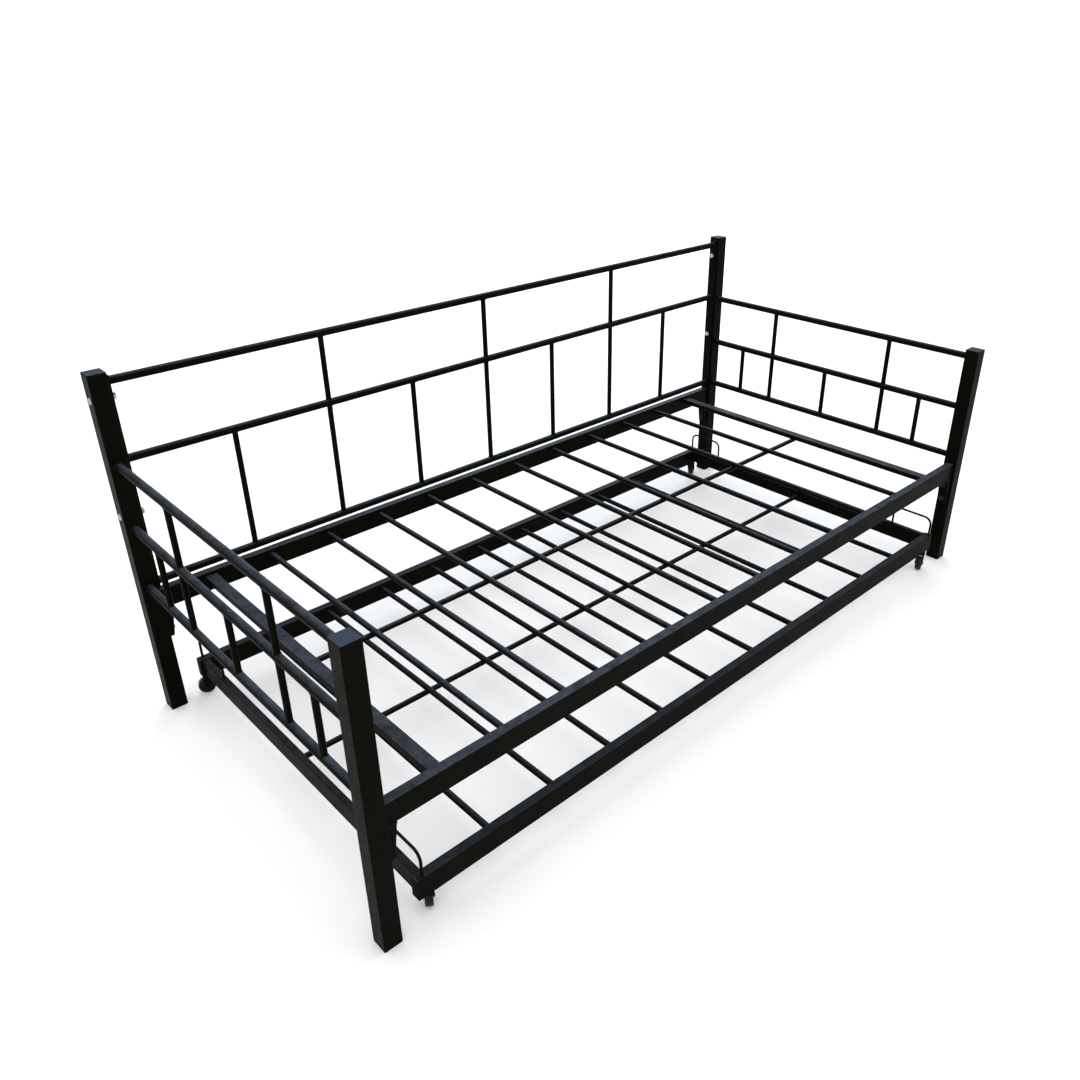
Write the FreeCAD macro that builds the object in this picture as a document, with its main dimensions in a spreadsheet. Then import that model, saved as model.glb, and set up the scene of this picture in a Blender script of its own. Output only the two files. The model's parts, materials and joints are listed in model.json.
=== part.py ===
import FreeCAD, Part
import math
import os

# Steel daybed with a roll-out trundle.
# X runs along the bed, Y from the open front to the back panel, Z up.
# The origin is on the floor, in the middle of the bed.

SIZES = [
    # whole bed
    ("bed_length", 2000), ("bed_depth", 944),
    ("rear_height", 826), ("front_height", 647),
    # posts, their caps and their feet
    ("post_width", 38), ("post_wall", 1.5), ("post_corner", 2.5),
    ("plug_flange", 3), ("plug_depth", 16), ("plug_edge", 1.2),
    # back and arm panels
    ("rail_tube", 18), ("rail_wall", 1.2), ("bar_tube", 13), ("bar_wall", 1),
    ("back_top", 803), ("back_middle", 632), ("back_bottom", 334),
    ("arm_top", 625), ("arm_middle", 478), ("arm_bottom", 331),
    ("arm_bar_outer", 318), ("arm_bar_inner", 199.5),
    ("strip_thick", 5), ("strip_width", 25), ("strip_overhang", 13.5),
    # sleeping deck
    ("deck_top", 313), ("side_width", 22), ("side_tall", 48), ("side_wall", 1.5),
    ("side_corner", 2), ("end_width", 28), ("end_tall", 14),
    ("slat_drop", 15), ("slat_tube", 14), ("slat_wall", 1), ("slat_pitch", 153.4),
    ("support_tube", 13),
    # brackets that carry the deck on the posts
    ("bracket_deep", 20), ("bracket_toe", 9.5), ("bracket_width", 25),
    ("bracket_sheet", 2.5), ("bracket_foot", 190), ("bracket_seat", 16),
    ("bracket_seat_rise", 1.3), ("deck_play", 0.5),
    # fasteners
    ("bolt_thread", 8), ("bolt_clear", 8.6), ("head_wide", 15), ("head_tall", 4.5),
    ("socket_flats", 5), ("socket_floor", 1.6), ("nut_flats", 13), ("nut_tall", 6.5),
    ("bore_gap", 0.1),
    ("panel_bolt_upper", 769), ("panel_bolt_lower", 508),
    ("deck_bolt_upper", 250), ("deck_bolt_lower", 206), ("deck_bolt_long", 32),
    # trundle
    ("trundle_shift", -5), ("trundle_length", 1832), ("trundle_depth", 914),
    ("trundle_top", 100), ("trundle_end_x", 902), ("trundle_end_width", 15),
    ("trundle_end_tall", 45), ("trundle_pitch", 164), ("rail_cap", 2),
    ("rail_cap_depth", 12), ("wire", 6), ("wire_bend", 20), ("retainer_tall", 58),
    ("retainer_first", 5), ("retainer_span", 117),
    # casters
    ("caster_x", 890), ("wheel_wide", 40), ("wheel_tread", 16), ("wheel_round", 2.5),
    ("rim_inner", 30), ("rim_depth", 4), ("hub_round", 13), ("caster_trail", 17),
    ("axle_pin", 6), ("axle_head", 9), ("axle_head_tall", 1.4), ("running_gap", 0.08),
    ("fork_sheet", 2), ("fork_inner", 17), ("fork_disc", 22), ("fork_top", 48.6),
    ("fork_toe", 7), ("fork_boss", 12), ("stem_head", 13), ("stem_head_tall", 2),
    ("stem_collar", 16), ("stem_gap", 0.35), ("stem_rise", 12),
]

doc = FreeCAD.newDocument("daybed")
sheet = doc.addObject("Spreadsheet::Sheet", "sizes")
for row, (alias, value) in enumerate(SIZES, start=1):
    sheet.set("A%d" % row, alias)
    sheet.set("B%d" % row, str(value))
    sheet.setAlias("B%d" % row, alias)
doc.recompute()

X, Y, Z = FreeCAD.Vector(1, 0, 0), FreeCAD.Vector(0, 1, 0), FreeCAD.Vector(0, 0, 1)
ALONG = {
    "x": FreeCAD.Rotation(Y, 90),
    "y": FreeCAD.Rotation(X, -90),
    "z": FreeCAD.Rotation(),
}
NODES = []

# positions that several sub-parts share, as expressions on the sheet
POST_X = "(bed_length - post_width) / 2"
POST_Y = "(bed_depth - post_width) / 2"
INNER_X = "(bed_length / 2 - post_width)"
SIDE_INNER_Y = "(%s - side_width / 2)" % POST_Y
SLAT_Z = "(deck_top - slat_drop)"
END_X = "(slat_pitch * 5.5)"
TRUNDLE_FRONT = "(trundle_shift - (trundle_depth - side_width) / 2)"
TRUNDLE_REAR = "(trundle_shift + (trundle_depth - side_width) / 2)"
TRUNDLE_SPAN = "(trundle_depth - 2 * side_width)"
TRUNDLE_FOOT = "(trundle_top - side_tall)"


def size(alias):
    """The value of one cell of the sheet, in millimetres."""
    return float(sheet.get(alias))


def bound(text):
    """Write an expression with the sheet's name before each of its aliases."""
    names = sorted((alias for alias, _ in SIZES), key=len, reverse=True)
    words, word = [], ""
    for letter in text + " ":
        if letter.isalnum() or letter == "_":
            word += letter
            continue
        words.append("sizes." + word if word in names else word)
        words.append(letter)
        word = ""
    return "".join(words).strip()


def bind(obj, **expressions):
    """Bind properties of an object to expressions on the sheet."""
    for name, text in expressions.items():
        obj.setExpression(name, bound(text))


def place(obj, x="0", y="0", z="0", turn=None):
    """Turn an object, and bind its position to the sheet."""
    if turn is not None:
        obj.Placement = FreeCAD.Placement(FreeCAD.Vector(), turn)
    for axis, text in (("x", x), ("y", y), ("z", z)):
        obj.setExpression("Placement.Base." + axis, bound(text))
    return obj


def node(obj, label):
    """Name an object as one of the bed's sub-parts."""
    obj.Label = label
    NODES.append(obj)
    return obj


def signed(sign, text):
    return text if sign > 0 else "-(%s)" % text


def cylinder(name, diameter, length):
    """A cylinder along Z, centred on the origin."""
    rod = doc.addObject("Part::Cylinder", name)
    bind(rod, Radius="(%s) / 2" % diameter, Height=length)
    return place(rod, z="-(%s) / 2" % length)


def cut(name, base, tool):
    result = doc.addObject("Part::Cut", name)
    result.Base, result.Tool = base, tool
    return result


def gather(name, members):
    """Hold several solids as one object."""
    group = doc.addObject("Part::Compound", name)
    group.Links = members
    return group


def round_tube(name, diameter, wall, length, axis, x="0", y="0", z="0"):
    """A round tube whose middle is at x, y, z."""
    outer = cylinder(name + "_outside", diameter, length)
    inner = cylinder(name + "_bore", "%s - 2 * %s" % (diameter, wall), length + " + 2")
    return place(cut(name, outer, inner), x, y, z, ALONG[axis])


# ---------------------------------------------------------------- sketch helpers

def origin_plane(body, role):
    for feature in body.Origin.OriginFeatures:
        if feature.Role == role:
            return feature


def empty_sketch(body, role):
    """A sketch with nothing in it yet, on one of a body's own planes."""
    sketch = body.newObject("Sketcher::SketchObject", body.Name + "_sketch")
    sketch.AttachmentSupport = [(origin_plane(body, role), "")]
    sketch.MapMode = "FlatFace"
    return sketch


def sketch_on(body, role, points_list, circles=()):
    """A sketch of closed polygons and circles (x, y, radius) on a plane of a body."""
    sketch = empty_sketch(body, role)
    for points in points_list:
        corners = [FreeCAD.Vector(px, py, 0) for px, py in points]
        for start, end in zip(corners, corners[1:] + corners[:1]):
            sketch.addGeometry(Part.LineSegment(start, end), False)
    for cx, cy, radius in circles:
        centre = FreeCAD.Vector(cx, cy, 0)
        sketch.addGeometry(Part.Circle(centre, FreeCAD.Vector(0, 0, 1), radius), False)
    return sketch


def curved_sketch(body, role, points, middle, radius, start, end):
    """A sketch of straight lines through points, closed by one arc about a middle.

    The arc runs anticlockwise from the last point to the first, between two angles.
    """
    sketch = empty_sketch(body, role)
    corners = [FreeCAD.Vector(px, py, 0) for px, py in points]
    for first, second in zip(corners, corners[1:]):
        sketch.addGeometry(Part.LineSegment(first, second), False)
    circle = Part.Circle(FreeCAD.Vector(*middle, 0), FreeCAD.Vector(0, 0, 1), radius)
    sketch.addGeometry(Part.ArcOfCircle(circle, start, end), False)
    return sketch


def feature(body, kind, sketch, **settings):
    """A PartDesign feature on a sketch; text settings are expressions on the sheet."""
    item = body.newObject("PartDesign::" + kind, body.Name + "_" + kind)
    item.Profile = sketch
    for name, value in settings.items():
        if isinstance(value, str) and name in ("Length", "Length2", "Angle"):
            item.setExpression(name, bound(value))
        else:
            setattr(item, name, value)
    sketch.Visibility = False
    return item


def square(half_x, half_y=None):
    half_y = half_x if half_y is None else half_y
    return [(-half_x, -half_y), (half_x, -half_y), (half_x, half_y), (-half_x, half_y)]


def dress(body, kind, base, edges, **sizes):
    """A fillet or a chamfer on edges of a body's last feature."""
    item = body.newObject("PartDesign::" + kind, body.Name + "_" + kind)
    item.Base = (base, edges)
    bind(item, **sizes)
    return item


def edges_where(shape, test):
    return ["Edge%d" % (i + 1) for i, edge in enumerate(shape.Edges) if test(edge)]


def is_upright(edge):
    box = edge.BoundBox
    return box.ZLength > 1 and box.XLength < 1e-3 and box.YLength < 1e-3


def rectangular_tube(name, wide, deep, wall, length, corner):
    """A rectangular tube along Z from the origin, its four long outside corners rounded."""
    body = doc.addObject("PartDesign::Body", name)
    half_x, half_y, skin = size(wide) / 2, size(deep) / 2, size(wall)
    profile = [square(half_x, half_y), square(half_x - skin, half_y - skin)]
    pad = feature(body, "Pad", sketch_on(body, "XY_Plane", profile), Length=length)
    doc.recompute()
    outside = edges_where(pad.Shape, lambda edge: is_upright(edge)
                          and abs(abs(edge.BoundBox.Center.x) - half_x) < 1e-3)
    dress(body, "Fillet", pad, outside, Radius=corner)
    return body


def cross_holes(body, role, spots, through):
    """Round holes along the normal of a plane, all the way through a body."""
    radius = size("bolt_clear") / 2
    circles = [(px, py, radius) for px, py in spots]
    pocket = feature(body, "Pocket", sketch_on(body, role, [], circles), Length=through)
    pocket.Midplane = True
    return pocket


# ---------------------------------------------------------------- posts and plugs

def make_post(label, side, back, height):
    """A square tube post; the rear ones are bored for the back panel, all for the deck."""
    body = rectangular_tube(label, "post_width", "post_width", "post_wall",
                            "%s - 2 * plug_flange" % height, "post_corner")
    flange = size("plug_flange")
    levels = ["deck_bolt_upper", "deck_bolt_lower"]
    doc.recompute()
    inner = feature(body, "Pocket",
                    sketch_on(body, "YZ_Plane", [],
                              [(0, size(level) - flange, size("bolt_clear") / 2)
                               for level in levels]),
                    Length="post_width")
    inner.Reversed = side < 0
    if back > 0:
        cross_holes(body, "YZ_Plane",
                    [(0, size(level) - flange) for level in ("panel_bolt_upper",
                                                              "panel_bolt_lower")],
                    "post_width * 2")
    place(body, signed(side, POST_X), signed(back, POST_Y), "plug_flange")
    return node(body, label)


def make_plug(name, wide, deep, flange, depth, corner, x, y, z, turn):
    """A moulded end plug: a flange as wide as its tube, and a stub that fills the tube.

    The flange lies below the origin and the stub above it, before the plug is turned.
    """
    body = doc.addObject("PartDesign::Body", name)
    half_x, half_y = size(wide) / 2, size(deep) / 2
    skin = size("post_wall") + 0.2
    outline = sketch_on(body, "XY_Plane", [square(half_x, half_y)])
    lid = feature(body, "Pad", outline, Length=flange, Reversed=True)
    stub_outline = sketch_on(body, "XY_Plane", [square(half_x - skin, half_y - skin)])
    stub = feature(body, "Pad", stub_outline, Length=depth)
    doc.recompute()
    outside = edges_where(stub.Shape, lambda edge: is_upright(edge)
                          and edge.BoundBox.ZMax < 1e-3)
    rounded = dress(body, "Fillet", stub, outside, Radius=corner)
    doc.recompute()
    low = -size(flange)
    rim = edges_where(rounded.Shape, lambda edge: edge.BoundBox.ZMax < low + 1e-3)
    dress(body, "Fillet", rounded, rim, Radius="plug_edge")
    return place(body, x, y, z, turn)


CORNERS = [("front_left", -1, -1), ("front_right", 1, -1),
           ("rear_left", -1, 1), ("rear_right", 1, 1)]


def make_posts():
    caps, feet = [], []
    for corner, side, back in CORNERS:
        height = "rear_height" if back > 0 else "front_height"
        make_post("post_" + corner, side, back, height)
        x, y = signed(side, POST_X), signed(back, POST_Y)
        caps.append(make_plug("cap_" + corner, "post_width", "post_width", "plug_flange",
                              "plug_depth", "post_corner", x, y, height + " - plug_flange",
                              FreeCAD.Rotation(X, 180)))
        feet.append(make_plug("foot_" + corner, "post_width", "post_width", "plug_flange",
                              "plug_depth", "post_corner", x, y, "plug_flange",
                              FreeCAD.Rotation()))
    node(gather("post_caps", caps), "post_caps")
    node(gather("foot_plugs", feet), "foot_plugs")


# ---------------------------------------------------------------- arm and back panels

def coped_bars(label, places, low, high, middle_x, axis, rails, length):
    """Upright bars between horizontal rails, their ends cut to the rails' round sides.

    places are the bars' positions along the rails, with the level that each starts and
    ends at; rails are the levels of the rails that the bars are cut by.
    """
    bars = []
    for index, (spot, bottom, top) in enumerate(places):
        x, y = (spot, middle_x) if axis == "x" else (middle_x, spot)
        bars.append(round_tube("%s_%d" % (label, index), "bar_tube", "bar_wall",
                               "%s - %s" % (top, bottom), "z", x, y,
                               "(%s + %s) / 2" % (top, bottom)))
    tools = []
    for index, level in enumerate(rails):
        tool = cylinder("%s_rail_%d" % (label, index), "rail_tube", length)
        x, y = ("0", middle_x) if axis == "x" else (middle_x, "0")
        wrap = gather("%s_rail_%d_place" % (label, index), [tool])
        tools.append(place(wrap, x, y, level, ALONG[axis]))
    return node(cut(label, gather(label + "_bars", bars), gather(label + "_rails", tools)),
                label)


def make_arm(hand, side):
    """The three rails and seven bars of one arm, welded between its two posts."""
    x = signed(side, POST_X)
    span = "bed_depth - 2 * post_width"
    for level in ("top", "middle", "bottom"):
        label = "arm_%s_%s_rail" % (hand, level)
        node(round_tube(label, "rail_tube", "rail_wall", span, "y", x, "0", "arm_" + level),
             label)
    lower = [(spot, "arm_bottom", "arm_middle") for spot in (
        "-arm_bar_outer", "-arm_bar_inner", "0", "arm_bar_inner", "arm_bar_outer")]
    upper = [(spot, "arm_middle", "arm_top") for spot in ("-arm_bar_inner", "arm_bar_inner")]
    coped_bars("arm_%s_bars" % hand, lower + upper, "arm_bottom", "arm_top", x, "y",
               ["arm_bottom", "arm_middle", "arm_top"], span)


def make_back():
    """The back panel: three rails, ten bars, and two flat end strips bolted to the posts."""
    span = "2 * (%s - strip_thick)" % INNER_X
    for level in ("top", "middle", "bottom"):
        label = "back_%s_rail" % level
        node(round_tube(label, "rail_tube", "rail_wall", span, "x", "0", POST_Y,
                        "back_" + level), label)
    pitch = "%s / 4" % INNER_X
    lower = [("%d * %s" % (step, pitch), "back_bottom", "back_middle")
             for step in range(-3, 4)]
    upper = [("%d * %s" % (step, pitch), "back_middle", "back_top") for step in (-2, 0, 2)]
    coped_bars("back_lower_bars", lower, "back_bottom", "back_middle", POST_Y, "x",
               ["back_bottom", "back_middle"], span)
    coped_bars("back_upper_bars", upper, "back_middle", "back_top", POST_Y, "x",
               ["back_middle", "back_top"], span)
    for hand, side in (("left", -1), ("right", 1)):
        make_strip("back_strip_" + hand, side)


def make_strip(label, side):
    """A flat bar at the end of the back panel, with the two holes of its bolts."""
    body = doc.addObject("PartDesign::Body", label)
    foot = size("back_bottom") - size("strip_overhang")
    top = size("back_top") + size("strip_overhang")
    half = size("strip_width") / 2
    outline = sketch_on(body, "YZ_Plane", [[(-half, foot), (half, foot), (half, top),
                                            (-half, top)]],
                        [(0, size(level), size("bolt_clear") / 2)
                         for level in ("panel_bolt_upper", "panel_bolt_lower")])
    feature(body, "Pad", outline, Length="strip_thick").Midplane = True
    place(body, signed(side, "(%s - strip_thick / 2)" % INNER_X), POST_Y, "0")
    return node(body, label)


# ---------------------------------------------------------------- deck

def long_rail(label, wide, deep, wall, length, corner, x, y, z, axis):
    """A rectangular tube laid along X or Y, centred at x, y, z."""
    body = rectangular_tube(label, wide, deep, wall, length, corner)
    start = {"x": ("%s - (%s) / 2" % (x, length), y, z),
             "y": (x, "%s - (%s) / 2" % (y, length), z)}[axis]
    return place(body, *start, ALONG[axis])


def make_deck():
    """Two side rails, two end rails, ten slats, and a support bar under the slats."""
    length = "2 * (%s - deck_play)" % INNER_X
    level = "(deck_top - side_tall / 2)"
    for name, back in (("front", -1), ("rear", 1)):
        label = "deck_%s_rail" % name
        node(long_rail(label, "side_tall", "side_width", "side_wall", length, "side_corner",
                       "0", signed(back, POST_Y), level, "x"), label)
    span = "2 * %s" % SIDE_INNER_Y
    slat_top = "%s + slat_tube / 2" % SLAT_Z
    for hand, side in (("left", -1), ("right", 1)):
        label = "deck_end_rail_" + hand
        node(long_rail(label, "end_width", "end_tall", "bar_wall", span, "side_corner",
                       signed(side, END_X), "0", "%s - end_tall / 2" % slat_top, "y"), label)
    slats = [round_tube("deck_slat_%d" % index, "slat_tube", "slat_wall", span, "y",
                        "%.1f * slat_pitch" % (index - 4.5), "0", SLAT_Z)
             for index in range(10)]
    node(gather("deck_slats", slats), "deck_slats")
    node(round_tube("deck_support_bar", "support_tube", "bar_wall",
                    "2 * %s + end_width / 2" % END_X, "x", "0", "0",
                    "%s - (slat_tube + support_tube) / 2" % SLAT_Z), "deck_support_bar")


def bracket_seat(level):
    """How far a bolt's seat on a bracket stands off the post, as an expression."""
    lean = "(bracket_deep - bracket_toe) / (deck_top - side_tall - bracket_foot)"
    return "(bracket_toe + %s * (%s - bracket_foot) + bracket_seat_rise)" % (lean, level)


def make_bracket(label, side, back):
    """A pressed channel under a side rail, with its open side against the post.

    It is deep at the top and shallow at the foot, and a spacer under each bolt's head
    gives the head an upright seat.
    """
    body = doc.addObject("PartDesign::Body", label)
    deep, toe, skin = size("bracket_deep"), size("bracket_toe"), size("bracket_sheet")
    tall = size("deck_top") - size("side_tall") - size("bracket_foot")
    lean = (deep - toe) / tall
    outline = [(0, 0), (toe, 0), (deep, tall), (0, tall)]
    feature(body, "Pad", sketch_on(body, "XZ_Plane", [outline]),
            Length="bracket_width").Midplane = True
    hollow = [(-skin, skin), (toe + lean * skin - skin, skin),
              (deep - lean * skin - skin, tall - skin), (-skin, tall - skin)]
    feature(body, "Pocket", sketch_on(body, "XZ_Plane", [hollow]),
            Length="bracket_width - 2 * bracket_sheet").Midplane = True
    levels = ["deck_bolt_upper", "deck_bolt_lower"]
    spots = [(0, size(level) - size("bracket_foot")) for level in levels]
    for level, (across, up) in zip(levels, spots):
        spacer = sketch_on(body, "YZ_Plane", [], [(across, up, size("bracket_seat") / 2)])
        feature(body, "Pad", spacer, Length=bracket_seat(level))
    cross_holes(body, "YZ_Plane", spots, "bracket_deep * 4")
    turn = FreeCAD.Rotation(Z, 0 if side < 0 else 180)
    place(body, signed(side, INNER_X), signed(back, POST_Y), "bracket_foot", turn)
    return node(body, label)


# ---------------------------------------------------------------- fasteners

def hexagon(flats):
    """The corners of a hexagon, from its width across the flats."""
    reach = flats / math.sqrt(3)
    return [(reach * math.cos(math.radians(60 * k)), reach * math.sin(math.radians(60 * k)))
            for k in range(6)]


def make_bolt(name, thread, head, head_tall, length, x, y, z, turn):
    """A domed socket screw along Z: the shank goes up from the origin, the head down."""
    body = doc.addObject("PartDesign::Body", name)
    shank, wide, tall = size(thread) / 2, size(head) / 2, size(head_tall)
    long = size(length) if isinstance(length, str) else length
    radius = (wide ** 2 + tall ** 2) / (2 * tall)
    sketch = curved_sketch(body, "XZ_Plane",
                           [(wide, 0), (shank, 0), (shank, long), (0, long), (0, -tall)],
                           (0, radius - tall), radius, -math.pi / 2,
                           math.atan2(tall - radius, wide))
    feature(body, "Revolution", sketch, ReferenceAxis=(sketch, ["V_Axis"]), Angle="360")
    socket = sketch_on(body, "XY_Plane", [hexagon(size("socket_flats"))])
    socket.AttachmentOffset = FreeCAD.Placement(FreeCAD.Vector(0, 0, -size("socket_floor")),
                                                FreeCAD.Rotation())
    feature(body, "Pocket", socket, Length=head_tall)
    return place(body, x, y, z, turn)


def make_nut(name, flats, tall, bore, x, y, z, turn):
    """A hexagon nut along Z, standing on the origin."""
    body = doc.addObject("PartDesign::Body", name)
    outline = sketch_on(body, "XY_Plane", [hexagon(size(flats))],
                        [(0, 0, size(bore) / 2 + size("bore_gap"))])
    feature(body, "Pad", outline, Length=tall)
    return place(body, x, y, z, turn)


def make_fasteners():
    """Bolts and nuts of the back panel, and the bolts and weld nuts of the deck."""
    bolts, nuts, screws = [], [], []
    grip = size("post_width") + size("strip_thick") + size("nut_tall") + 1
    for hand, side in (("left", -1), ("right", 1)):
        inward = ALONG["x"] if side < 0 else FreeCAD.Rotation(Y, -90)
        for level in ("upper", "lower"):
            spot = "%s_%s" % (hand, level)
            bolts.append(make_bolt("panel_bolt_" + spot, "bolt_thread", "head_wide",
                                   "head_tall", grip, signed(side, "bed_length / 2"),
                                   POST_Y, "panel_bolt_" + level, inward))
            nuts.append(make_nut("panel_nut_" + spot, "nut_flats", "nut_tall", "bolt_thread",
                                 signed(side, "(%s - strip_thick)" % INNER_X), POST_Y,
                                 "panel_bolt_" + level, inward))
    for corner, side, back in CORNERS:
        outward = ALONG["x"] if side > 0 else FreeCAD.Rotation(Y, -90)
        for level in ("upper", "lower"):
            spot = "%s_%s" % (corner, level)
            seat = "(%s - %s)" % (INNER_X, bracket_seat("deck_bolt_" + level))
            screws.append(make_bolt("deck_bolt_" + spot, "bolt_thread", "head_wide",
                                    "head_tall", "deck_bolt_long", signed(side, seat),
                                    signed(back, POST_Y), "deck_bolt_" + level, outward))
            nuts.append(make_nut("weld_nut_" + spot, "nut_flats", "nut_tall", "bolt_thread",
                                 signed(side, "(%s + post_wall)" % INNER_X),
                                 signed(back, POST_Y), "deck_bolt_" + level, outward))
    node(gather("panel_bolts", bolts), "panel_bolts")
    node(gather("deck_bolts", screws), "deck_bolts")
    node(gather("frame_nuts", nuts), "frame_nuts")


# ---------------------------------------------------------------- trundle

def make_trundle():
    """The low frame: side rails, end rails, slats and a support bar between the ends."""
    length = "trundle_length - 2 * rail_cap"
    level = "(trundle_top - side_tall / 2)"
    plugs = []
    for name, y in (("front", TRUNDLE_FRONT), ("rear", TRUNDLE_REAR)):
        label = "trundle_%s_rail" % name
        rail = long_rail(label, "side_tall", "side_width", "side_wall", length,
                         "side_corner", "0", y, level, "x")
        drill_for_stems(rail)
        node(rail, label)
        for hand, side in (("left", -1), ("right", 1)):
            turn = ALONG["x"] if side < 0 else FreeCAD.Rotation(Y, -90)
            rail_end = signed(side, "(trundle_length / 2 - rail_cap)")
            plugs.append(make_plug("rail_plug_%s_%s" % (name, hand), "side_tall",
                                   "side_width", "rail_cap", "rail_cap_depth",
                                   "side_corner", rail_end, y, level, turn))
    node(gather("trundle_rail_plugs", plugs), "trundle_rail_plugs")
    for hand, side in (("left", -1), ("right", 1)):
        label = "trundle_end_rail_" + hand
        node(long_rail(label, "trundle_end_width", "trundle_end_tall", "bar_wall",
                       TRUNDLE_SPAN, "side_corner", signed(side, "trundle_end_x"),
                       "trundle_shift", "trundle_top - trundle_end_tall / 2", "y"), label)
    slat_z = "(trundle_top - slat_drop)"
    slats = [round_tube("trundle_slat_%d" % index, "slat_tube", "slat_wall", TRUNDLE_SPAN,
                        "y", "%.1f * trundle_pitch" % (index - 4.5), "trundle_shift", slat_z)
             for index in range(10)]
    node(gather("trundle_slats", slats), "trundle_slats")
    node(round_tube("trundle_support_bar", "support_tube", "bar_wall",
                    "2 * trundle_end_x - trundle_end_width", "x", "0", "trundle_shift",
                    "%s - (slat_tube + support_tube) / 2" % slat_z), "trundle_support_bar")


def drill_for_stems(rail):
    """Two holes in the lower wall of a side rail, for the stems of its casters."""
    middle = size("trundle_length") / 2 - size("rail_cap")
    radius = size("bolt_thread") / 2 + size("bore_gap")
    spots = sketch_on(rail, "YZ_Plane", [], [(0, middle - size("caster_x"), radius),
                                             (0, middle + size("caster_x"), radius)])
    holes = feature(rail, "Pocket", spots, Length="side_tall")
    holes.Reversed = True


def make_retainer(label, side, back):
    """A bent wire loop that stands on an end rail and keeps the mattress from sliding."""
    body = doc.addObject("PartDesign::Body", label)
    span, tall, bend = size("retainer_span"), size("retainer_tall"), size("wire_bend")
    turn_mid = bend * (1 - 0.70710678)
    rise = tall - size("wire") / 2
    path = body.newObject("Sketcher::SketchObject", label + "_path")
    path.AttachmentSupport = [(origin_plane(body, "YZ_Plane"), "")]
    path.MapMode = "FlatFace"
    point = FreeCAD.Vector
    path.addGeometry(Part.LineSegment(point(0, 0, 0), point(0, rise - bend, 0)), False)
    path.addGeometry(Part.Arc(point(0, rise - bend, 0), point(turn_mid, rise - turn_mid, 0),
                              point(bend, rise, 0)), False)
    path.addGeometry(Part.LineSegment(point(bend, rise, 0), point(span - bend, rise, 0)),
                     False)
    path.addGeometry(Part.Arc(point(span - bend, rise, 0),
                              point(span - turn_mid, rise - turn_mid, 0),
                              point(span, rise - bend, 0)), False)
    path.addGeometry(Part.LineSegment(point(span, rise - bend, 0), point(span, 0, 0)), False)
    section = sketch_on(body, "XY_Plane", [], [(0, 0, size("wire") / 2)])
    doc.recompute()
    pipe = body.newObject("PartDesign::AdditivePipe", label + "_wire")
    pipe.Profile = section
    pipe.Spine = (path, [])
    path.Visibility = False
    section.Visibility = False
    inner = "trundle_depth / 2 - retainer_first"
    turn = FreeCAD.Rotation(Z, 0 if back < 0 else 180)
    place(body, signed(side, "trundle_end_x"),
          "trundle_shift + %s" % signed(back, "(%s)" % inner), "trundle_top", turn)
    return node(body, label)


# ---------------------------------------------------------------- casters

def make_mountings():
    """The stems of the casters, and the nuts inside the side rails that hold them."""
    stems, nuts = [], []
    for corner, side, back in CORNERS:
        x, y = caster_axis(side, back)
        stems.append(make_stem("stem_" + corner, x, y))
        nuts.append(make_nut("caster_nut_" + corner, "nut_flats", "nut_tall", "bolt_thread",
                             x, y, TRUNDLE_FOOT + " + side_wall", FreeCAD.Rotation()))
    node(gather("caster_stems", stems), "caster_stems")
    node(gather("caster_nuts", nuts), "caster_nuts")


def caster_axis(side, back):
    """Where the upright axis of a caster crosses the floor, as expressions."""
    return signed(side, "caster_x"), TRUNDLE_REAR if back > 0 else TRUNDLE_FRONT


def turned(body, role, axis, points):
    """A solid of revolution from one closed polygon on a plane of the body."""
    sketch = sketch_on(body, role, [points])
    feature(body, "Revolution", sketch, ReferenceAxis=(sketch, [axis]), Angle="360")
    return body


def make_stem(name, x, y):
    """A threaded stem: a head under the fork, a collar under the rail, and the thread."""
    body = doc.addObject("PartDesign::Body", name)
    thread, collar, head = size("bolt_thread") / 2, size("stem_collar") / 2, size("stem_head") / 2
    gap, fork = size("stem_gap"), size("fork_sheet")
    top = size("trundle_top") - size("side_tall") - size("fork_top")
    under = -fork - gap
    points = [(0, under - size("stem_head_tall")), (head, under - size("stem_head_tall")),
              (head, under), (thread, under), (thread, gap), (collar, gap), (collar, top),
              (thread, top), (thread, top + size("stem_rise")), (0, top + size("stem_rise"))]
    turned(body, "XZ_Plane", "V_Axis", points)
    return place(body, x, y, "fork_top")


def tangent(point, centre, radius, way):
    """Where a line from a point touches a circle, on the side that way (1 or -1) picks."""
    away = point - centre
    angle = math.atan2(away.y, away.x) + way * math.acos(radius / away.Length)
    return centre + FreeCAD.Vector(radius * math.cos(angle), radius * math.sin(angle), 0)


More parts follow.
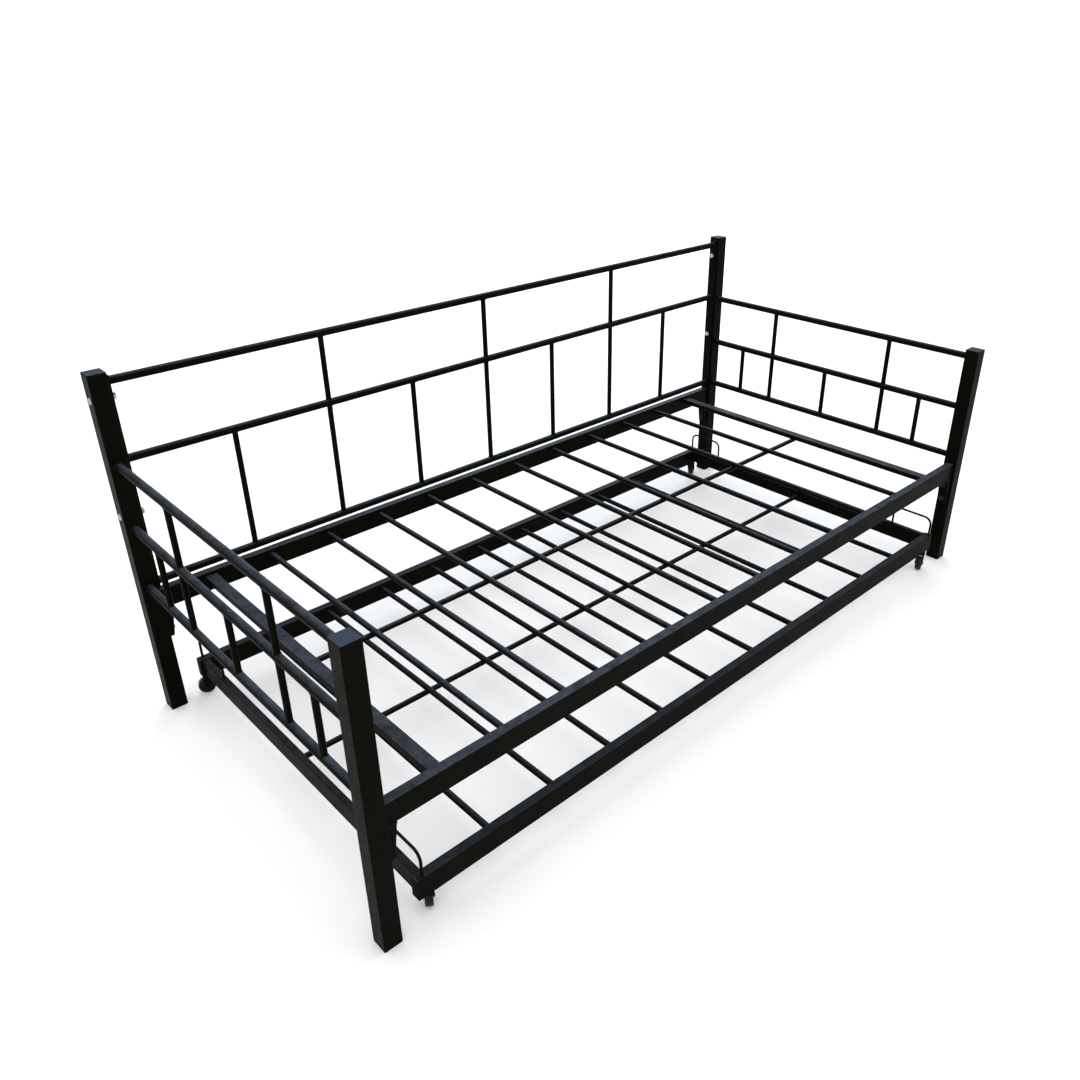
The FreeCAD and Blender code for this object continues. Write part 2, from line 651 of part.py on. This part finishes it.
def make_fork(label, x, y, heading):
    """A pressed fork: a round top, and two cheeks that taper to the axle."""
    body = doc.addObject("PartDesign::Body", label)
    sheet_thick, inner, disc = size("fork_sheet"), size("fork_inner"), size("fork_disc") / 2
    axle = FreeCAD.Vector(-size("caster_trail"), size("wheel_wide") / 2 - size("fork_top"), 0)
    boss, toe, lip = size("fork_boss") / 2, size("fork_toe"), -3 * sheet_thick
    heel = axle.x - boss
    touch = tangent(FreeCAD.Vector(toe, lip, 0), axle, boss, -1)
    side = curved_sketch(body, "YZ_Plane",
                         [(touch.x, touch.y), (toe, lip), (toe, 0), (heel, 0),
                          (heel, axle.y)],
                         (axle.x, axle.y), boss, math.pi,
                         2 * math.pi + math.atan2(touch.y - axle.y, touch.x - axle.x))
    cheeks = feature(body, "Pad", side, Length="fork_inner + 2 * fork_sheet")
    cheeks.Midplane = True
    deep = size("fork_top")
    slot = sketch_on(body, "YZ_Plane", [[(-deep, -deep), (deep, -deep), (deep, -sheet_thick),
                                         (-deep, -sheet_thick)]])
    feature(body, "Pocket", slot, Length="fork_inner").Midplane = True
    round_top = sketch_on(body, "XY_Plane", [], [(0, 0, disc)])
    feature(body, "Pad", round_top, Length="fork_sheet", Reversed=True)
    stem_hole = sketch_on(body, "XY_Plane", [],
                          [(0, 0, size("bolt_thread") / 2 + size("running_gap"))])
    feature(body, "Pocket", stem_hole, Length="fork_sheet * 2")
    pin_hole = sketch_on(body, "YZ_Plane", [], [(axle.x, axle.y, size("axle_pin") / 2)])
    feature(body, "Pocket", pin_hole, Length="fork_inner * 2").Midplane = True
    place(body, x, y, "fork_top", FreeCAD.Rotation(Z, heading))
    return node(body, label)


def make_axle(label, x, y, heading):
    """A riveted pin between the cheeks of a fork."""
    body = doc.addObject("PartDesign::Body", label)
    pin, head, tall = size("axle_pin") / 2, size("axle_head") / 2, size("axle_head_tall")
    face = size("fork_inner") / 2 + size("fork_sheet")
    points = [(-face - tall, 0), (-face - tall, head * 0.7), (-face - tall * 0.4, head),
              (-face, head), (-face, pin), (face, pin), (face, head),
              (face + tall * 0.4, head), (face + tall, head * 0.7), (face + tall, 0)]
    turned(body, "XY_Plane", "H_Axis", points)
    place(body, x, y, "wheel_wide / 2", FreeCAD.Rotation(Z, heading))
    return node(body, label)


def make_wheel(label, x, y, heading):
    """A moulded wheel: a rounded tread, a recess in each face, and a bored hub."""
    body = doc.addObject("PartDesign::Body", label)
    radius, half, soft = size("wheel_wide") / 2, size("wheel_tread") / 2, size("wheel_round")
    rim, depth, hub = size("rim_inner") / 2, size("rim_depth"), size("hub_round") / 2
    bore = size("axle_pin") / 2 + size("running_gap")
    right = [(half, bore), (half, hub), (half - depth, hub + 1), (half - depth, rim - 1),
             (half, rim), (half, radius - soft), (half - soft * 0.3, radius - soft * 0.3),
             (half - soft, radius)]
    points = right + [(-px, py) for px, py in reversed(right)]
    turned(body, "XY_Plane", "H_Axis", points)
    place(body, x, y, "wheel_wide / 2", FreeCAD.Rotation(Z, heading))
    return node(body, label)


def make_caster(corner, side, back, heading):
    """One swivel caster; heading turns its trail from the open front of the bed."""
    x, y = caster_axis(side, back)
    make_fork("caster_fork_" + corner, x, y, heading)
    angle = math.radians(heading)
    wheel_x = "%s + caster_trail * %.6f" % (x, math.sin(angle))
    wheel_y = "%s - caster_trail * %.6f" % (y, math.cos(angle))
    make_axle("caster_axle_" + corner, wheel_x, wheel_y, heading)
    make_wheel("caster_wheel_" + corner, wheel_x, wheel_y, heading)


# ---------------------------------------------------------------- the whole bed

HEADINGS = {"front_left": 149, "front_right": -72, "rear_left": 250, "rear_right": 120}

make_posts()
for hand_name, hand_side in (("left", -1), ("right", 1)):
    make_arm(hand_name, hand_side)
make_back()
make_deck()
for corner_name, corner_side, corner_back in CORNERS:
    make_bracket("rail_bracket_" + corner_name, corner_side, corner_back)
make_fasteners()
make_trundle()
for corner_name, corner_side, corner_back in CORNERS:
    make_retainer("mattress_retainer_" + corner_name, corner_side, corner_back)
make_mountings()
for corner_name, corner_side, corner_back in CORNERS:
    make_caster(corner_name, corner_side, corner_back, HEADINGS[corner_name])
doc.recompute()

for item in doc.Objects:
    if "Invalid" in item.State or "Error" in item.State:
        raise RuntimeError("%s is not valid: %s" % (item.Label, item.State))
for item in NODES:
    if item.Shape.isNull() or not item.Shape.isValid():
        raise RuntimeError("%s has no valid shape" % item.Label)

os.makedirs("parts", exist_ok=True)
for item in NODES:
    Part.export([item], "parts/%s.step" % item.Label)
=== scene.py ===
import json
import math
import random

import bmesh
import bpy
from mathutils import Matrix, Vector


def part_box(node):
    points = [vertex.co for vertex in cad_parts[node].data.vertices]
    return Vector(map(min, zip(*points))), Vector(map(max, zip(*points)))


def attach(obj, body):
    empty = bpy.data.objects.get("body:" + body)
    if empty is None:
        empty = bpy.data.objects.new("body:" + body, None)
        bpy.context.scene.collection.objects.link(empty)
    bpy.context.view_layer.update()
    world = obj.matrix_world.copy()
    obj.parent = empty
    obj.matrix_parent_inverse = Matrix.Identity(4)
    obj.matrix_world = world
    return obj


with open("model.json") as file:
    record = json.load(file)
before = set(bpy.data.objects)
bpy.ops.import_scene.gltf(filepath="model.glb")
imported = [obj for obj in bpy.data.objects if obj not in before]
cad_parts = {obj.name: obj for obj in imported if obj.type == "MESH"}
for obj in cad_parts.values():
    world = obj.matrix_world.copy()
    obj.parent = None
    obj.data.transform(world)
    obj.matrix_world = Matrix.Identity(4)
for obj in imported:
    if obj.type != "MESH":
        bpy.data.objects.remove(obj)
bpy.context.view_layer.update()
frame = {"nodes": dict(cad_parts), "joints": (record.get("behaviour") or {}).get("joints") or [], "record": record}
RNG = random.Random(7)

# ------------------------------------------------------------------ materials

# sockets of the Mix node when it mixes colours
MIX_FACTOR, MIX_FIRST, MIX_SECOND, MIX_RESULT = 0, 6, 7, 2


class Nodes:
    """A material's node tree, with short ways to add and join nodes. Lengths are in metres."""

    def __init__(self, name):
        self.material = bpy.data.materials.new(name)
        self.material.use_nodes = True
        self.tree = self.material.node_tree
        self.shader = self.tree.nodes["Principled BSDF"]
        self.where = self.add("ShaderNodeTexCoord").outputs["Object"]

    def add(self, kind, **settings):
        item = self.tree.nodes.new(kind)
        for name, value in settings.items():
            setattr(item, name, value)
        return item

    def join(self, source, target):
        self.tree.links.new(source, target)

    def noise(self, scale, detail=3.0, roughness=0.5, stretch=None):
        item = self.add("ShaderNodeTexNoise")
        item.inputs["Scale"].default_value = scale
        item.inputs["Detail"].default_value = detail
        item.inputs["Roughness"].default_value = roughness
        place = self.where
        if stretch is not None:
            mapping = self.add("ShaderNodeMapping")
            mapping.inputs["Scale"].default_value = stretch
            self.join(self.where, mapping.inputs["Vector"])
            place = mapping.outputs["Vector"]
        self.join(place, item.inputs["Vector"])
        return item.outputs["Fac"]

    def ramp(self, source, stops):
        item = self.add("ShaderNodeValToRGB")
        element = item.color_ramp.elements
        while len(element) < len(stops):
            element.new(0.5)
        for slot, (position, colour) in zip(element, stops):
            slot.position = position
            slot.color = (*colour, 1.0)
        self.join(source, item.inputs["Fac"])
        return item.outputs["Color"]

    def scale(self, source, low, high, from_low=0.3, from_high=0.7):
        item = self.add("ShaderNodeMapRange")
        item.inputs["From Min"].default_value = from_low
        item.inputs["From Max"].default_value = from_high
        item.inputs["To Min"].default_value = low
        item.inputs["To Max"].default_value = high
        self.join(source, item.inputs["Value"])
        return item.outputs["Result"]

    def bump(self, source, depth, strength=1.0, below=None):
        item = self.add("ShaderNodeBump")
        item.inputs["Strength"].default_value = strength
        item.inputs["Distance"].default_value = depth
        self.join(source, item.inputs["Height"])
        if below is not None:
            self.join(below, item.inputs["Normal"])
        return item.outputs["Normal"]

    def mix(self, factor, below, colour):
        """A flat colour laid over another colour by a factor."""
        item = self.add("ShaderNodeMix", data_type="RGBA")
        self.join(factor, item.inputs[MIX_FACTOR])
        self.join(below, item.inputs[MIX_FIRST])
        item.inputs[MIX_SECOND].default_value = (*colour, 1.0)
        return item.outputs[MIX_RESULT]

    def edge(self, radius):
        """1 within about a radius of an edge, 0 on flat ground."""
        bevel = self.add("ShaderNodeBevel", samples=4)
        bevel.inputs["Radius"].default_value = radius
        flat = self.add("ShaderNodeNewGeometry")
        dot = self.add("ShaderNodeVectorMath", operation="DOT_PRODUCT")
        self.join(bevel.outputs["Normal"], dot.inputs[0])
        self.join(flat.outputs["Normal"], dot.inputs[1])
        return self.scale(dot.outputs["Value"], 1.0, 0.0, 0.80, 0.995)

    def facing_up(self):
        """1 on ground that faces up, 0 on walls."""
        flat = self.add("ShaderNodeNewGeometry")
        split = self.add("ShaderNodeSeparateXYZ")
        self.join(flat.outputs["Normal"], split.inputs["Vector"])
        return self.scale(split.outputs["Z"], 0.0, 1.0, 0.55, 0.98)

    def finish(self, colour, roughness, normal=None, **constants):
        self.join(colour, self.shader.inputs["Base Color"])
        self.join(roughness, self.shader.inputs["Roughness"])
        if normal is not None:
            self.join(normal, self.shader.inputs["Normal"])
        for name, value in constants.items():
            self.shader.inputs[name.replace("_", " ")].default_value = value
        return self.material


def powder_coat(name, dark, light, top_sheen):
    """Satin powder coat: orange peel, a slow drift in tone, edges lightened partly as rubbed coat and partly as a
    painted edge highlight, and a painted bluish sheen on up-facing ground.
    """
    m = Nodes(name)
    drift = m.ramp(m.noise(5.0, 4.0), [(0.35, dark), (0.65, light)])
    # Lighter edges: partly rubbed coat, partly a painted edge highlight.
    lighter_edge = m.mix(m.edge(0.0012), drift, tuple(c * 3.6 for c in light))
    specks = m.scale(m.noise(260.0, 2.0), 0.0, 1.0, 0.62, 0.75)
    speckled = m.mix(specks, lighter_edge, tuple(c * 1.8 for c in light))
    # Painted sheen: up-facing ground is mixed towards a light bluish colour, patchy by a noise, to paint the sky's
    # highlight on tops.
    top_sheen_mask = m.add("ShaderNodeMath", operation="MULTIPLY")
    m.join(m.facing_up(), top_sheen_mask.inputs[0])
    m.join(m.scale(m.noise(38.0, 5.0, 0.7), 0.25, 1.0), top_sheen_mask.inputs[1])
    colour = m.mix(top_sheen_mask.outputs[0], speckled, top_sheen)
    rough = m.scale(m.noise(22.0, 5.0, 0.6), 0.36, 0.48)
    peel = m.bump(m.noise(620.0, 2.0, 0.4), 0.00005, 0.5)
    grain = m.bump(m.noise(2600.0, 1.0), 0.00001, 0.5, peel)
    return m.finish(colour, rough, grain, Specular_IOR_Level=0.016)


def moulded_plastic(name, dark, light, low, high, specular, top_sheen):
    """Black moulded plastic with a spark-eroded grain and a painted bluish sheen on top."""
    m = Nodes(name)
    colour = m.ramp(m.noise(60.0, 4.0), [(0.3, dark), (0.7, light)])
    lighter_edge = m.mix(m.edge(0.0008), colour, tuple(c * 1.9 for c in light))
    # Painted sheen: up-facing ground is mixed towards a light bluish colour.
    top_sheened = m.mix(m.facing_up(), lighter_edge, top_sheen)
    rough = m.scale(m.noise(90.0, 4.0), low, high)
    grain = m.bump(m.noise(1500.0, 2.0), 0.00004, 0.8)
    return m.finish(top_sheened, rough, grain, Specular_IOR_Level=specular)


def plated_steel(name, dark, light, low=0.24, high=0.42):
    """Zinc plate: a cloudy bright metal with fine scratches."""
    m = Nodes(name)
    cloud = m.ramp(m.noise(180.0, 5.0, 0.65), [(0.3, dark), (0.7, light)])
    edges = m.mix(m.edge(0.0006), cloud, tuple(min(1.0, c * 1.25) for c in light))
    rough = m.scale(m.noise(240.0, 4.0, 0.7), low, high)
    scratch = m.bump(m.noise(900.0, 3.0, 0.6, (1.0, 1.0, 9.0)), 0.00002, 0.6)
    return m.finish(edges, rough, scratch, Metallic=1.0)


def blackened_steel(name, dark, light, specular):
    """A thin black film on plated steel: cloudy, paler where an edge has rubbed."""
    m = Nodes(name)
    colour = m.ramp(m.noise(140.0, 4.0), [(0.3, dark), (0.7, light)])
    lighter_edge = m.mix(m.edge(0.0006), colour, tuple(c * 6.0 for c in light))
    rough = m.scale(m.noise(170.0, 4.0, 0.7), 0.32, 0.52)
    cloud = m.bump(m.noise(420.0, 3.0, 0.5), 0.00004, 0.6)
    return m.finish(lighter_edge, rough, cloud, Specular_IOR_Level=specular)


def weld_metal(name):
    """Weld metal under the same powder coat, a little rougher than the tube."""
    m = Nodes(name)
    colour = m.ramp(m.noise(160.0, 4.0), [(0.3, (0.0028, 0.0028, 0.0020)),
                                         (0.7, (0.0060, 0.0060, 0.0050))])
    rough = m.scale(m.noise(120.0, 4.0), 0.42, 0.58)
    lumps = m.bump(m.noise(1100.0, 3.0, 0.6), 0.00016, 0.8)
    return m.finish(colour, rough, lumps, Specular_IOR_Level=0.08)


# The last colour of each coat is its painted bluish top sheen.
FRAME_COAT = powder_coat("frame_powder_coat", (0.0019, 0.0020, 0.0010),
                         (0.0034, 0.0035, 0.0020), (0.046, 0.055, 0.073))
# The trundle's painted top sheen is dimmer than the frame's: painted shade where the trundle sits under the deck.
TRUNDLE_COAT = powder_coat("trundle_powder_coat", (0.0019, 0.0020, 0.0011),
                           (0.0033, 0.0034, 0.0020), (0.022, 0.026, 0.033))
# The last colour of the end plugs and the wheels is their painted top sheen.
PLASTIC = moulded_plastic("end_plug_plastic", (0.0019, 0.0020, 0.0014), (0.0034, 0.0035, 0.0026),
                          0.5, 0.66, 0.014, (0.036, 0.046, 0.070))
WHEEL = moulded_plastic("caster_wheel_nylon", (0.0032, 0.0032, 0.0030), (0.0062, 0.0062, 0.0056),
                        0.34, 0.5, 0.16, (0.012, 0.014, 0.016))
ZINC = plated_steel("zinc_plate", (0.30, 0.30, 0.295), (0.44, 0.44, 0.43))
BLACK_OXIDE = blackened_steel("black_oxide", (0.0035, 0.0035, 0.0038), (0.0068, 0.0068, 0.0073),
                              0.14)
CASTER_STEEL = blackened_steel("caster_steel", (0.0013, 0.0014, 0.0010),
                               (0.0026, 0.0027, 0.0021), 0.030)
WELD = weld_metal("coated_weld")

LOOKS = {
    "frame_steel": FRAME_COAT,
    "trundle_steel": TRUNDLE_COAT,
    "end_plugs": PLASTIC,
    "bright_fasteners": ZINC,
    "black_fasteners": BLACK_OXIDE,
    "caster_metal": CASTER_STEEL,
    "caster_wheels": WHEEL,
}
SLOT_OF = {entry["node"]: entry["material_slot"] for entry in frame["record"]["subparts"]}
for node_name, cad in frame["nodes"].items():
    for slot in cad.material_slots:
        slot.material = LOOKS[SLOT_OF[node_name]]

# ------------------------------------------------------------------ reading the frame


def solids(node):
    """The box of each separate solid of a CAD node, in order along X, then Y, then Z."""
    mesh = frame["nodes"][node].data
    key = [tuple(round(c, 5) for c in vertex.co) for vertex in mesh.vertices]
    root = {point: point for point in key}

    def top(point):
        while root[point] != point:
            root[point] = root[root[point]]
            point = root[point]
        return point

    for edge in mesh.edges:
        first, second = (top(key[i]) for i in edge.vertices)
        root[first] = second
    groups = {}
    for point in root:
        groups.setdefault(top(point), []).append(point)
    boxes = [(Vector(map(min, zip(*points))), Vector(map(max, zip(*points))))
             for points in groups.values()]
    return sorted(boxes, key=lambda box: tuple(round(c, 4) for c in (box[0] + box[1])))


def centre(box):
    return (box[0] + box[1]) / 2


def half(box, axis):
    return (box[1][axis] - box[0][axis]) / 2


# ------------------------------------------------------------------ weld beads

CORNERS = ("front_left", "front_right", "rear_left", "rear_right")
STEP = 0.0008             # between a bead's points
RIPPLE_PITCH = 0.0021     # between a bead's ripples
RIPPLE_TURN, PHASE_TURN = 6.283, 6.28
RIPPLE_DEPTH = 0.16       # of a bead's radius
UNEVEN = (0.94, 1.06)     # a bead's radius varies at random between these
THIN_END = 0.55           # an open bead's end, of its middle
SINK = 0.35               # how far a bead's middle lies inside a tube's end, of its radius
STAND_OFF = 0.1           # how far it lies outside a tube's wall, of its radius
RAIL_BEAD, ARM_BEAD, RETAINER_BEAD = 0.0014, 0.0016, 0.0011
BAR_BEAD, BRACKET_BEAD = 0.0013, 0.0015


def new_piece(name, mesh_maker, material, body):
    """A mesh object that rides on a body and takes the finish it is given."""
    mesh = bpy.data.meshes.new(name)
    grid = bmesh.new()
    mesh_maker(grid)
    bmesh.ops.recalc_face_normals(grid, faces=grid.faces)
    grid.to_mesh(mesh)
    grid.free()
    for face in mesh.polygons:
        face.use_smooth = True
    piece = bpy.data.objects.new(name, mesh)
    bpy.context.scene.collection.objects.link(piece)
    mesh.materials.append(material)
    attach(piece, body)
    return piece


def bead(grid, points, radius, closed=True, sides=8):
    """A rippled weld bead along a line of points."""
    count = len(points)
    rings, travelled = [], 0.0
    phase = RNG.uniform(0, PHASE_TURN)
    for i, point in enumerate(points):
        before = points[i - 1] if (i or closed) else point
        after = points[(i + 1) % count] if (i < count - 1 or closed) else point
        ahead = (after - before).normalized()
        side = ahead.orthogonal().normalized()
        up = ahead.cross(side)
        travelled += (point - before).length if i else 0.0
        ripple = 1.0 + RIPPLE_DEPTH * math.sin(travelled / RIPPLE_PITCH * RIPPLE_TURN + phase)
        size = radius * ripple * RNG.uniform(*UNEVEN)
        if not closed:
            along = math.sin(math.pi * i / max(1, count - 1)) ** 0.5
            size *= THIN_END + (1.0 - THIN_END) * along
        rings.append([grid.verts.new(point + size * (math.cos(a) * side + math.sin(a) * up))
                      for a in (2 * math.pi * k / sides for k in range(sides))])
    for i in range(count if closed else count - 1):
        ring, following = rings[i], rings[(i + 1) % count]
        # the next ring's frame can be turned, so start from its nearest corner
        shift = min(range(sides), key=lambda k: (following[k].co - ring[0].co).length)
        turn = 1 if ((following[(shift + 1) % sides].co - ring[1].co).length
                     <= (following[(shift - 1) % sides].co - ring[1].co).length) else -1
        for k in range(sides):
            corners = (ring[k], ring[(k + 1) % sides],
                       following[(shift + turn * (k + 1)) % sides],
                       following[(shift + turn * k) % sides])
            grid.faces.new(corners)
    if not closed:
        grid.faces.new(rings[0])
        grid.faces.new(rings[-1])


def ring_path(middle, axis, radius):
    """Points round a tube, in the plane across an axis (0, 1 or 2)."""
    count = max(16, int(2 * math.pi * radius / STEP))
    first, second = [i for i in range(3) if i != axis]
    points = []
    for k in range(count):
        angle = 2 * math.pi * k / count
        point = middle.copy()
        point[first] += radius * math.cos(angle)
        point[second] += radius * math.sin(angle)
        points.append(point)
    return points


def saddle_path(foot, radius, rail_radius, rail_axis, up):
    """Points round an upright bar where it meets the side of a round rail."""
    across = 1 - rail_axis
    points = []
    for point in ring_path(foot, 2, radius):
        off = point[across] - foot[across]
        rise = math.sqrt(max(0.0, rail_radius ** 2 - off ** 2))
        points.append(Vector((point.x, point.y, foot.z + up * rise)))
    return points


def box_path(low, high, axis, at):
    """Points round a rectangle across an axis."""
    first, second = [i for i in range(3) if i != axis]
    corners = [(low[first], low[second]), (high[first], low[second]),
               (high[first], high[second]), (low[first], high[second])]
    points = []
    for (a, b), (c, d) in zip(corners, corners[1:] + corners[:1]):
        count = max(2, int(math.hypot(c - a, d - b) / STEP))
        for k in range(count):
            point = Vector((0.0, 0.0, 0.0))
            point[axis] = at
            point[first] = a + (c - a) * k / count
            point[second] = b + (d - b) * k / count
            points.append(point)
    return points


def tube_end_welds(grid, node, axis, radius):
    """A ring of weld at each end of each round tube of a node."""
    for box in solids(node):
        tube = half(box, (axis + 1) % 3)
        for end, inward in ((box[0][axis], 1), (box[1][axis], -1)):
            middle = centre(box)
            middle[axis] = end + inward * radius * SINK
            bead(grid, ring_path(middle, axis, tube + radius * STAND_OFF), radius)


def bar_welds(grid, node, rails, rail_axis):
    """A saddle of weld at each end of each upright bar of a node."""
    levels = [(centre(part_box(rail)).z, half(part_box(rail), 2)) for rail in rails]
    for box in solids(node):
        tube = half(box, rail_axis)
        middle = centre(box)
        for end, up in ((box[0].z, 1), (box[1].z, -1)):
            level, rail_radius = min(levels, key=lambda item: abs(item[0] - end))
            foot = Vector((middle.x, middle.y, level))
            bead(grid, saddle_path(foot, tube, rail_radius, rail_axis, up), BAR_BEAD)


def arm_welds(grid):
    for hand in ("left", "right"):
        rails = ["arm_%s_%s_rail" % (hand, level) for level in ("top", "middle", "bottom")]
        for rail in rails:
            tube_end_welds(grid, rail, 1, ARM_BEAD)
        bar_welds(grid, "arm_%s_bars" % hand, rails, 1)


def back_welds(grid):
    rails = ["back_%s_rail" % level for level in ("top", "middle", "bottom")]
    for rail in rails:
        tube_end_welds(grid, rail, 0, ARM_BEAD)
    bar_welds(grid, "back_lower_bars", rails, 0)
    bar_welds(grid, "back_upper_bars", rails, 0)


def flat_rail_welds(grid, node, axis, radius):
    """A bead round each end of a rectangular rail."""
    low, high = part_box(node)
    for end, inward in ((low[axis], 1), (high[axis], -1)):
        bead(grid, box_path(low, high, axis, end + inward * radius * SINK), radius)


def bracket_weld(grid, bracket, post):
    """A bead along the three free sides of a bracket's top, where it meets its rail."""
    low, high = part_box(bracket)
    wall = min((low.x, high.x), key=lambda x: abs(x - centre(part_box(post)).x))
    tip = low.x + high.x - wall
    clear = math.copysign(BRACKET_BEAD, tip - wall)
    corners = [(wall + clear, low.y), (tip, low.y), (tip, high.y), (wall + clear, high.y)]
    points = []
    for (a, b), (c, d) in zip(corners, corners[1:]):
        count = max(2, int(math.hypot(c - a, d - b) / STEP))
        points += [Vector((a + (c - a) * k / count, b + (d - b) * k / count,
                           high.z - BRACKET_BEAD * SINK)) for k in range(count)]
    bead(grid, points, BRACKET_BEAD, closed=False)


def crossing_tacks(grid, slats, bar):
    """Two short beads where each slat rests on the support bar."""
    apart, proud, count = 0.0026, 0.0004, 8
    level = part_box(bar)[1].z + proud
    line = centre(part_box(bar)).y
    length = half(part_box(bar), 1) * 0.8
    for box in solids(slats):
        middle = centre(box)
        for way in (-1, 1):
            points = [Vector((middle.x + way * apart,
                              line + length * (k / (count - 1) - 0.5), level))
                      for k in range(count)]
            bead(grid, points, RAIL_BEAD, closed=False)


def deck_welds(grid):
    tube_end_welds(grid, "deck_slats", 1, RAIL_BEAD)
    for hand in ("left", "right"):
        flat_rail_welds(grid, "deck_end_rail_" + hand, 1, RAIL_BEAD)
    for corner in CORNERS:
        bracket_weld(grid, "rail_bracket_" + corner, "post_" + corner)
    crossing_tacks(grid, "deck_slats", "deck_support_bar")


def trundle_welds(grid):
    tube_end_welds(grid, "trundle_slats", 1, RAIL_BEAD)
    tube_end_welds(grid, "trundle_support_bar", 0, RAIL_BEAD)
    for hand in ("left", "right"):
        flat_rail_welds(grid, "trundle_end_rail_" + hand, 1, BAR_BEAD)
    crossing_tacks(grid, "trundle_slats", "trundle_support_bar")
    proud, lean = 0.0006, 0.0019
    for corner in CORNERS:
        low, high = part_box("mattress_retainer_" + corner)
        wire = (high.x - low.x) / 2
        for end, inward in ((low.y, 1), (high.y, -1)):
            foot = Vector(((low.x + high.x) / 2, end + inward * (wire + lean), low.z + proud))
            bead(grid, ring_path(foot, 2, wire), RETAINER_BEAD)


new_piece("weld_beads_arms", arm_welds, WELD, "bed_frame")
new_piece("weld_beads_back", back_welds, WELD, "bed_frame")
new_piece("weld_beads_deck", deck_welds, WELD, "bed_frame")
new_piece("weld_beads_trundle", trundle_welds, WELD, "trundle")

# ------------------------------------------------------------------ caster details


def lathe(grid, profile, middle, count=48):
    """A ring turned about an upright axis from a closed profile of (radius, height)."""
    rings = []
    for k in range(count):
        angle = 2 * math.pi * k / count
        rings.append([grid.verts.new((middle.x + r * math.cos(angle),
                                      middle.y + r * math.sin(angle), middle.z + z))
                      for r, z in profile])
    size = len(profile)
    for k in range(count):
        ring, following = rings[k], rings[(k + 1) % count]
        for i in range(size):
            j = (i + 1) % size
            grid.faces.new((ring[i], ring[j], following[j], following[i]))


def bearing_cup(axis, fork_top, collar):
    """The pressed cup of the swivel bearing, on top of the fork, just clear of the collar."""
    # radius as a part of the collar's, and height in metres
    shape = [(1.05, 0.0), (1.30, 0.0), (1.33, 0.0005), (1.32, 0.0011),
             (1.26, 0.0020), (1.15, 0.0026), (1.08, 0.0027), (1.05, 0.0023)]
    profile = [(part * collar, rise) for part, rise in shape]

    def make(grid):
        lathe(grid, profile, Vector((axis.x, axis.y, fork_top)))
    return make


collar = half(solids("caster_stems")[0], 0)
for corner in CORNERS:
    joint = next(j for j in frame["joints"] if j["name"] == "caster_swivel_" + corner)
    axis = Vector(joint["pos_m"])
    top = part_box("caster_fork_" + corner)[1].z
    new_piece("bearing_cup_" + corner, bearing_cup(axis, top, collar), CASTER_STEEL,
              "swivel_" + corner)

# ------------------------------------------------------------------ floor, light, camera


def area_light(name, place, aim, wide, tall, power, colour):
    lamp = bpy.data.lights.new(name, "AREA")
    lamp.shape = "RECTANGLE"
    lamp.size, lamp.size_y = wide, tall
    lamp.energy, lamp.color = power, colour
    item = bpy.data.objects.new(name, lamp)
    item.location = place
    item.rotation_euler = (Vector(aim) - Vector(place)).to_track_quat("-Z", "Y").to_euler()
    bpy.context.scene.collection.objects.link(item)


def make_floor():
    m = Nodes("studio_floor")
    tone = m.ramp(m.noise(0.6, 2.0), [(0.3, (0.93, 0.93, 0.93)), (0.7, (0.95, 0.95, 0.95))])
    rough = m.scale(m.noise(4.0, 2.0), 0.85, 0.95)
    material = m.finish(tone, rough, Specular_IOR_Level=0.1)
    mesh = bpy.data.meshes.new("studio_floor")
    grid = bmesh.new()
    bmesh.ops.create_grid(grid, x_segments=4, y_segments=4, size=60.0)
    grid.to_mesh(mesh)
    grid.free()
    floor = bpy.data.objects.new("studio_floor", mesh)
    bpy.context.scene.collection.objects.link(floor)
    mesh.materials.append(material)


def make_world():
    """A bright, even studio sky."""
    world = bpy.data.worlds.new("studio_world")
    world.use_nodes = True
    bpy.context.scene.world = world
    shade = world.node_tree.nodes["Background"]
    shade.inputs["Color"].default_value = (1.0, 1.0, 1.0, 1.0)
    shade.inputs["Strength"].default_value = 1.16


def make_camera():
    """A 31 mm lens at standing height off the bed's front left corner."""
    yaw, pitch, roll = -0.755700, -0.480311, -0.005465
    place = Vector((-1.495520, -1.485450, 1.414921))
    forward = Vector((-math.sin(yaw) * math.cos(pitch), math.cos(yaw) * math.cos(pitch),
                      math.sin(pitch)))
    right = Vector((math.cos(yaw), math.sin(yaw), 0.0))
    up = right.cross(forward)
    rolled_right = math.cos(roll) * right + math.sin(roll) * up
    rolled_up = -math.sin(roll) * right + math.cos(roll) * up
    turn = Matrix((rolled_right, rolled_up, -forward)).transposed().to_4x4()
    lens = bpy.data.cameras.new("camera")
    lens.sensor_width = 36.0
    lens.lens = 30.8828
    lens.shift_x, lens.shift_y = -0.032731, -0.021306
    lens.clip_start, lens.clip_end = 0.05, 200.0
    lens.dof.use_dof = False
    camera = bpy.data.objects.new("camera", lens)
    camera.matrix_world = Matrix.Translation(place) @ turn
    bpy.context.scene.collection.objects.link(camera)
    bpy.context.scene.camera = camera


make_floor()
make_world()
make_camera()
area_light("far_window", (4.6, 4.8, 2.6), (0.0, 0.0, 0.3), 5.0, 3.0, 215.0, (0.70, 0.84, 1.0))
area_light("overhead", (-0.4, -0.3, 4.2), (0.0, 0.0, 0.0), 4.5, 3.5, 36.0, (1.0, 0.99, 0.97))
bpy.context.scene.view_settings.view_transform = "Standard"
bpy.context.scene.view_settings.look = "None"
